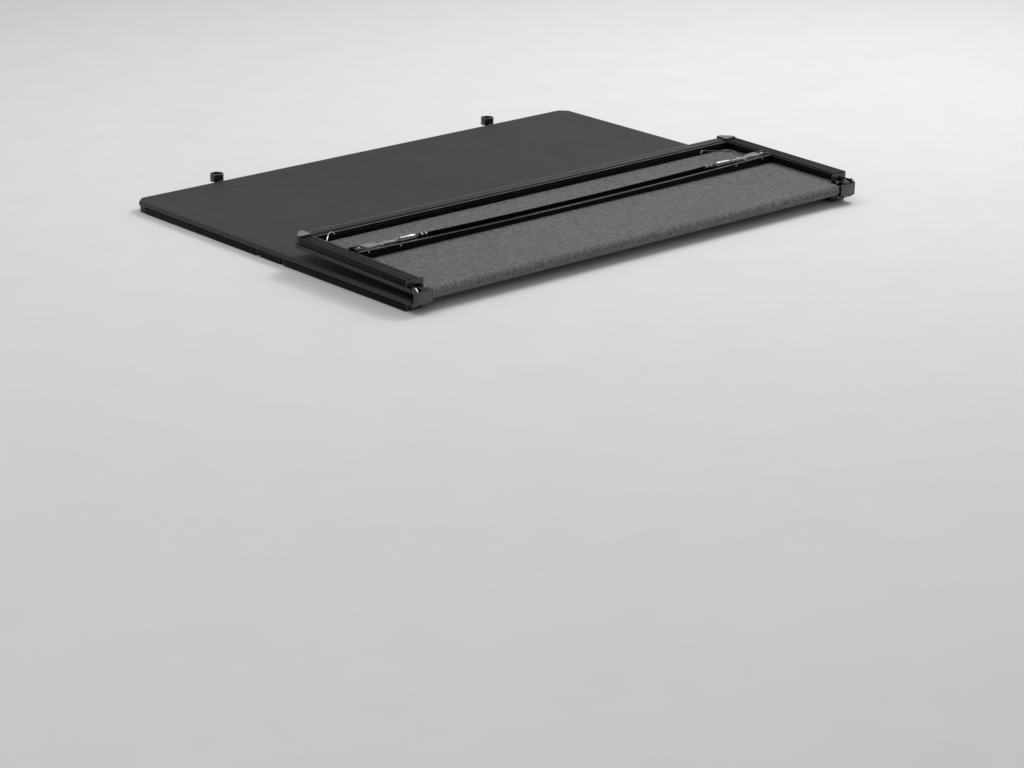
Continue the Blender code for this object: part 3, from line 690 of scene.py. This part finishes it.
def lining(name, row, start, end, half, offset):
    body = f"{row}_panel"
    bm = lining_strip(start, end, half, offset)
    obj = add_piece(name, mesh_of(bm, name, PLACE[body], 60), MAT["lining"], body)


def build_panels():
    gap = LINING_GAP
    middle, rear = -MIDDLE_LENGTH, -REAR_LENGTH
    skin("front", FRONT_LENGTH, 1, 0.024, 0.0)
    skin("middle", MIDDLE_LENGTH + SKIN_REACH, 0, 0.0, MIDDLE_ALONG)
    skin("rear", REAR_LENGTH + SKIN_REACH, -1, 0.027, REAR_ALONG + REAR_LENGTH)
    reach, tongue, full = TONGUE_REACH, TONGUE_HALF, LINING_HALF
    for name, row, start, end, half, offset in (
        ("lining_front", "front", -LINING_END, -FRONT_LENGTH + gap, full, 0.0),
        ("lining_middle", "middle", -gap, middle + gap, full, MIDDLE_ALONG),
        ("lining_rear", "rear", -gap, rear + LINING_END, full, REAR_ALONG),
        ("lining_tongue_middle", "middle", middle + gap, middle - reach, tongue, MIDDLE_ALONG),
        ("lining_tongue_rear", "rear", reach, -gap, tongue, REAR_ALONG),
    ):
        lining(name, row, start, end, half, offset)
    front_fold()
    rear_fold()


# ------------------------------------------------------------------ rails, castings, clamps
def build_rails():
    """Every rigid CAD node again with rounded edges, and the pins as they are."""
    for row in ("front", "middle", "rear"):
        body = f"{row}_panel"
        refine(f"bow_{row}", MAT["rail_x"], body, 0.0004)
        for word, _ in SIDES:
            refine(f"side_rail_{row}_{word}", MAT["rail_y"], body, 0.00045)
    refine("header_rail", MAT["rail_x"], "front_panel", 0.0006)
    refine("tail_rail", MAT["rail_x"], "rear_panel", 0.0006)
    refine("header_seal", MAT["rubber"], "front_panel", 0.0006)
    refine("tail_seal", MAT["rubber"], "rear_panel", 0.0006)
    for word, _ in SIDES:
        refine(f"corner_front_{word}", MAT["corner"], "front_panel", 0.0006)
        refine(f"corner_tail_{word}", MAT["corner"], "rear_panel", 0.0006)
        refine(f"bumper_{word}", MAT["bumper"], "front_panel", 0.0006, 2, 40)
        for row, body in (
            ("front", "front_panel"),
            ("middle_front", "middle_panel"),
            ("middle_rear", "middle_panel"),
            ("rear", "rear_panel"),
        ):
            refine(f"hinge_end_{row}_{word}", MAT["casting"], body, 0.0005)
        for fold in ("front", "rear"):
            finish = MAT["rail_y"] if fold == "front" else MAT["casting"]
            refine(f"link_{fold}_{word}", finish, f"{fold}_link", 0.0006)
            for level in ("lower", "upper"):
                pin = frame["nodes"][f"pin_{fold}_{level}_{word}"]
                pin.data.materials.clear()
                pin.data.materials.append(MAT["steel"])
        for row in ("front", "rear"):
            place = f"{row}_{word}"
            refine(f"clamp_bracket_{place}", MAT["casting"], f"{row}_panel", 0.0005)
            refine(f"clamp_arm_{place}", MAT["dark_steel"], f"arm_{place}", 0.0004, 2, 40)
            refine(f"clamp_jaw_{place}", MAT["alloy"], f"jaw_{place}", 0.0008, 3, 40)
            refine(f"clamp_knob_{place}", MAT["knob"], f"knob_{place}", 0.0006, 2, 30)


# ------------------------------------------------------------------ small fixed parts
ALONG_X = Matrix.Rotation(math.pi / 2, 4, "Y")
RIVET_X = (0.754, 0.643)
KEEPER_X = (0.727, 0.700)
COIL_RADIUS = 0.0078
COIL_TURNS = 4

# On each clamp's stud: (x, radius, thickness, sides) of its washer and two nuts.
STUD_PARTS = (
    (0.5584, 0.0082, 0.0012, 28),
    (0.5566, 0.0074, 0.0055, 6),
    (0.5420, 0.0070, 0.0055, 6),
)

# The wires' paths on the folded rear panel, each given as listed points.
WIRE_RIGHT = (
    (0.6520, -0.2015, 0.0845),
    (0.6545, -0.2041, 0.0935),
    (0.7239, -0.2706, 0.0925),
    (0.7262, -0.2728, 0.0835),
)
WIRE_LEFT = (
    (-0.7935, -0.2260, 0.0880),
    (-0.7830, -0.2180, 0.0960),
    (-0.7640, -0.1990, 0.1010),
    (-0.7420, -0.1840, 0.0985),
    (-0.7330, -0.1850, 0.0915),
)


def dome(radius, height):
    """A rivet or screw head standing on z = 0."""
    points = [(0.0, 0.0), (radius, 0.0), (radius, height * 0.25)]
    for a in (0.5, 0.9, 1.25):
        points.append((radius * math.cos(a), height * (0.25 + 0.75 * math.sin(a))))
    return turned(points + [(0.0, height)], 16)


def disc(radius, thickness, steps=24):
    chamfer = min(0.0004, thickness / 3)
    points = [(0.0, 0.0), (radius - chamfer, 0.0), (radius, chamfer), (radius, thickness - chamfer)]
    return turned(points + [(radius - chamfer, thickness), (0.0, thickness)], steps)


def bow_rim(x):
    """The height of an arched bow's open rim, lowest at its ends."""
    return 0.0015 + 0.010 * (1 - (x / 0.7957) ** 2)


def build_bow_fasteners(row, word, side):
    """Rivets through both walls of the bow and the small keeper plates between them."""
    body = f"{row}_panel"
    rivets, plates = [], []
    squat = Matrix.Diagonal((1.7, 0.42, 1.0, 1.0))
    for wall in (-1, 1):
        face = BOW_Y[row] + wall * (BOW_WIDTH / 2 + 0.0001)
        turn = Matrix.Rotation(-wall * math.pi / 2, 4, "X")
        for x in RIVET_X:
            at = Matrix.Translation((side * x, face, bow_rim(x) + 0.0050))
            rivets.append(moved(dome(0.0029, 0.0013), at @ turn))
        for x in KEEPER_X:
            at = Matrix.Translation((side * x, face, bow_rim(x) + 0.0030))
            plates.append(moved(disc(0.0030, 0.0006), at @ turn @ squat))
    mesh = mesh_of(joined(rivets), "rivets", PLACE[body])
    add_piece(f"bow_rivets_{row}_{word}", mesh, MAT["steel"], body)
    mesh = mesh_of(joined(plates), "plates", PLACE[body])
    add_piece(f"bow_keepers_{row}_{word}", mesh, MAT["dark_steel"], body)


def build_clamp_hardware(row, word, side):
    """Washer and nuts on a clamp's stud, the head's screw and the jaw's coil spring."""
    body = f"{row}_panel"
    place = f"{row}_{word}"
    y, z = BOW_Y[row], CLAMP_Z[row]
    parts = []
    outward = Matrix.Rotation(math.pi if side > 0 else 0.0, 4, "Z")
    for x, radius, thickness, sides in STUD_PARTS:
        at = Matrix.Translation((side * x, y, z))
        parts.append(moved(disc(radius, thickness, sides), at @ outward @ ALONG_X))
    mesh = mesh_of(joined(parts), "nuts", PLACE[body], 25)
    add_piece(f"clamp_nuts_{place}", mesh, MAT["dark_steel"], f"arm_{place}")
    head = Matrix.Translation((side * 0.7705, y, z - 0.0056)) @ Matrix.Rotation(math.pi, 4, "X")
    mesh = mesh_of(moved(dome(0.0036, 0.0018), head), "head_screw", PLACE[body])
    add_piece(f"clamp_screw_{place}", mesh, MAT["steel"], f"arm_{place}")
    coil = []
    steps = 22
    count = COIL_TURNS * steps
    for i in range(count + 1):
        a = 2 * math.pi * i / steps
        x = side * (0.6890 - 0.0245 * i / count)
        coil.append((x, y + COIL_RADIUS * math.cos(a), z + COIL_RADIUS * math.sin(a)))
    leg = [(side * x, y + 0.0080, z - 0.0010) for x in (0.7010, 0.6930)]
    mesh = mesh_of(tube(leg + coil, 0.0007), "spring", PLACE[body], 60)
    add_piece(f"clamp_spring_{place}", mesh, MAT["steel"], f"jaw_{place}")


def build_wires():
    """The two thin wires between the rear bow's ends and the tail rail."""
    right = rounded_path(WIRE_RIGHT, 0.004)
    left = rounded_path(WIRE_LEFT, 0.012)
    for name, bm, mat in (
        ("right", tube(right, 0.0020), MAT["dark_steel"]),
        ("ends", joined([tube(right[:6], 0.0027), tube(right[-6:], 0.0027)]), MAT["steel"]),
        ("left", tube(left, 0.0022), MAT["steel"]),
    ):
        mesh = mesh_of(bm, f"wire_{name}", None, 60)
        add_piece(f"stay_wire_{name}", mesh, mat, "rear_panel")


def strip(points, width, height):
    """A thin bead along points, width across and standing down from them by height."""
    section = ((-0.5, 0.0), (-0.5, 0.5), (-0.3, 0.9), (0.3, 0.9), (0.5, 0.5), (0.5, 0.0))
    return lofted([[(x, y + u * width, z - v * height) for u, v in section] for x, y, z in points])


def build_bow_beads():
    """Light grey beads along the bows' rims, whose colour paints the thin highlight lines that the
    rims catch.
    """
    half, steps = 0.790, 60
    xs = [half * (2 * i / steps - 1) for i in range(steps + 1)]
    for row, centre in BOW_Y.items():
        body = f"{row}_panel"
        parts = []
        for wall in (-1, 1):
            y = centre + wall * (BOW_WIDTH / 2 - 0.0010)
            parts.append(strip([(x, y, bow_rim(x) - 0.0001) for x in xs], 0.0032, 0.0024))
        mesh = mesh_of(joined(parts), "beads", PLACE[body])
        add_piece(f"bow_beads_{row}", mesh, MAT["edge"], body)


def build_inner_ledges():
    """The thin lips along the side rails' inner walls that hold the lining's edge."""
    inner = HALF - RAIL_WIDTH - 0.0001
    section = ((0.0, 0.0030), (0.0, 0.0062), (0.0022, 0.0054), (0.0026, 0.0044))
    for row, start, end in (
        ("front", -0.0520, -FRONT_LENGTH + 0.006),
        ("middle", -0.006, -MIDDLE_LENGTH + 0.006),
        ("rear", -0.006, -REAR_LENGTH + 0.0440),
    ):
        body = f"{row}_panel"
        for word, side in SIDES:
            bm = lofted([[(side * (inner - u), y, z) for u, z in section] for y in (start, end)])
            mesh = mesh_of(bm, "ledge", PLACE[body])
            add_piece(f"rail_ledge_{row}_{word}", mesh, MAT["worn"], body)


def build_cross_rail_beads():
    """Three raised beads along the underside of the header rail and of the tail rail, light grey as
    painted highlight lines.
    """
    for row, outer, inward, short in (("front", 0.0, -1, 0.054), ("rear", -REAR_LENGTH, 1, 0.046)):
        body = f"{row}_panel"
        half = HALF - short
        parts = []
        for inset in (0.0030, 0.0300, 0.0455):
            y = outer + inward * inset
            parts.append(strip([(-half, y, 0.0059), (half, y, 0.0059)], 0.0026, 0.0022))
        mesh = mesh_of(joined(parts), "beads", PLACE[body])
        add_piece(f"cross_rail_beads_{row}", mesh, MAT["edge"], body)


def plate(outline, low, high):
    """A thin plate between two heights, its lower edges rounded."""
    bm = lofted([[(x, y, z) for x, y in outline] for z in (low, high)])
    edges = [e for e in bm.edges if all(abs(v.co.z - low) < 1e-7 for v in e.verts)]
    bmesh.ops.bevel(bm, geom=edges, offset=0.0004, segments=2, affect="EDGES", profile=0.5)
    return bm


def build_cap_plates():
    """The grey plates on the undersides of the tail corner caps."""
    margin = 0.0012
    outer, inner = HALF - 0.002 - margin, HALF - 0.0446 + margin
    far, near = -REAR_LENGTH + 0.002 + margin, -REAR_LENGTH + 0.0425 - margin
    corner = 0.027 - margin * 0.6
    outline = [(inner, far), (outer - corner, far), (outer, far + corner)]
    outline += [(outer, near), (inner, near)]
    for word, side in SIDES:
        bm = plate([(side * x, y) for x, y in outline], -0.0039, -0.0031)
        mesh = mesh_of(bm, "plate", PLACE["rear_panel"])
        add_piece(f"cap_plate_{word}", mesh, MAT["cap"], "rear_panel")


def build_link_fillers():
    """Ribbed strips on the front links that carry the rails' side line across the fold."""
    start, end = FRONT_LOW.y - 0.0056, FRONT_UP.y + 0.0056
    section = [(0.0120, 0.0088), (0.0020, 0.0088)]
    for base in (0.0092, 0.0132):
        section += [(0.0012, base), (0.0020, base + 0.0006), (0.0020, base + 0.0026)]
        section += [(0.0012, base + 0.0032)]
    section += [(0.0012, 0.0192), (0.0030, 0.0205), (0.0120, 0.0205)]
    face = HALF - 0.0004
    for word, side in SIDES:
        bm = lofted([[(side * (face - u), y, z) for u, z in section] for y in (start, end)])
        mesh = mesh_of(bm, "filler")
        add_piece(f"link_filler_{word}", mesh, MAT["rail_y"], "front_link")


def build_link_plates():
    """Satin wear plates on the rear links' outer faces."""
    for word, side in SIDES:
        near, far = side * 0.7835, side * 0.8285
        outline = [(near, -0.0030), (near, -0.0330), (far, -0.0330), (far, -0.0030)]
        mesh = mesh_of(plate(outline, -0.0255, -0.02505), "plate", PLACE["rear_link"])
        add_piece(f"link_plate_{word}", mesh, MAT["plate"], "rear_link")


def build_details():
    build_link_plates()
    build_link_fillers()
    build_bow_beads()
    build_cross_rail_beads()
    build_inner_ledges()
    build_cap_plates()
    for word, side in SIDES:
        for row in ("front", "rear"):
            build_bow_fasteners(row, word, side)
            build_clamp_hardware(row, word, side)
    build_wires()


# ------------------------------------------------------------------ floor, light and camera
# The camera's place from the cover's head end, its turn in degrees and its lens in mm.
CAMERA_AT = (-5.438, -6.834, 2.368)
AZIMUTH, ELEVATION, ROLL = -41.593, 19.499, 0.594
LENS = 103.021875

# Each light's place, the point it is aimed at, its size and its power.
LIGHTS = {
    "key": ((3.1, 0.3, 3.9), (0, 0, 0), (3.2, 3.2), 85),
    "glint": ((3.0, 0.2, 3.8), (-0.6, -0.3, 0), (1.1, 0.7), 42),
    "top": ((-1.4, 1.6, 4.4), (0, 0, 0), (4.0, 2.6), 60),
    "fill": ((-4.2, -3.0, 2.6), (0, 0, 0), (3.5, 2.0), 22),
}
FLOOR_Z = -0.0006


def build_floor():
    bm = bmesh.new()
    bmesh.ops.create_grid(bm, x_segments=2, y_segments=2, size=30)
    floor = bpy.data.objects.new("floor", mesh_of(bm, "floor", Matrix.Translation((0, 0, FLOOR_Z))))
    bpy.context.scene.collection.objects.link(floor)
    mat, nodes, links, shader = new_material("floor", (0.80, 0.80, 0.80), 0.7)
    grain = noise_node(nodes, links, coords(nodes, links), 6, 3.0)
    links.new(ramp(nodes, links, grain, [(0.3, 0.79), (0.7, 0.81)]), shader.inputs["Base Color"])
    floor.data.materials.append(mat)


def build_lights():
    world = bpy.data.worlds.new("studio")
    bpy.context.scene.world = world
    world.use_nodes = True
    sky = world.node_tree.nodes["Background"]
    sky.inputs["Color"].default_value = (0.96, 0.965, 0.97, 1)
    sky.inputs["Strength"].default_value = 0.36
    for name, (location, target, size, power) in LIGHTS.items():
        light = bpy.data.lights.new(name, "AREA")
        light.energy = power
        light.shape = "RECTANGLE"
        light.size, light.size_y = size
        obj = bpy.data.objects.new(name, light)
        bpy.context.scene.collection.objects.link(obj)
        obj.location = location
        aim = Vector(target) - Vector(location)
        obj.rotation_euler = aim.to_track_quat("-Z", "Y").to_euler()


def build_camera():
    """The photograph's view: a long lens from the rear left, a little above the cover."""
    data = bpy.data.cameras.new("camera")
    data.sensor_width = 36.0
    data.lens = LENS
    data.clip_end = 100
    camera = bpy.data.objects.new("camera", data)
    bpy.context.scene.collection.objects.link(camera)
    azimuth, elevation, roll = (math.radians(v) for v in (AZIMUTH, ELEVATION, ROLL))
    flat = math.cos(elevation)
    back = Vector((math.sin(azimuth) * flat, -math.cos(azimuth) * flat, math.sin(elevation)))
    right = Vector((math.cos(azimuth), math.sin(azimuth), 0))
    up = back.cross(right)
    right, up = (
        right * math.cos(roll) + up * math.sin(roll),
        up * math.cos(roll) - right * math.sin(roll),
    )
    turn = Matrix((right, up, back)).transposed().to_4x4()
    x, y, z = CAMERA_AT
    camera.matrix_world = Matrix.Translation((x, HEAD_Y + y, z)) @ turn
    bpy.context.scene.camera = camera


build_camera()
build_floor()
build_lights()
build_panels()
build_rails()
build_details()
bpy.context.scene.view_settings.view_transform = "Standard"
